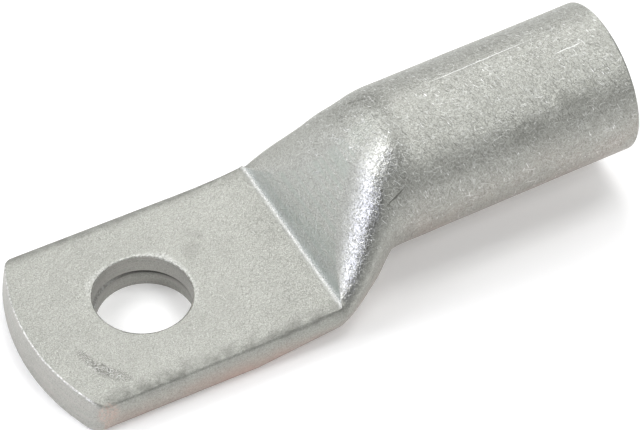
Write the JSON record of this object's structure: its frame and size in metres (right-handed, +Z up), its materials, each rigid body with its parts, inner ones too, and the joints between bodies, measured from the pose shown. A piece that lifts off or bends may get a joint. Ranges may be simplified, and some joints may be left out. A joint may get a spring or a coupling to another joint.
{
  "type": "copper cable lug",
  "caption": "Tinned copper tube lug: a round barrel crimps on a cable, and a flat palm with a hole bolts to a stud.",
  "frame": {"origin": "on the stud hole's axis, in the plane of the palm's underside", "axes": "+X along the lug from the palm to the barrel's mouth, +Y across it, +Z up out of the palm's top face"},
  "size_m": [0.0678, 0.023, 0.0191],
  "materials": {
    "tinned_copper": "matt electro-tinned, tumbled"
  },
  "bodies": {
    "root": {"lug": "tinned_copper"}
  },
  "joints": []
}
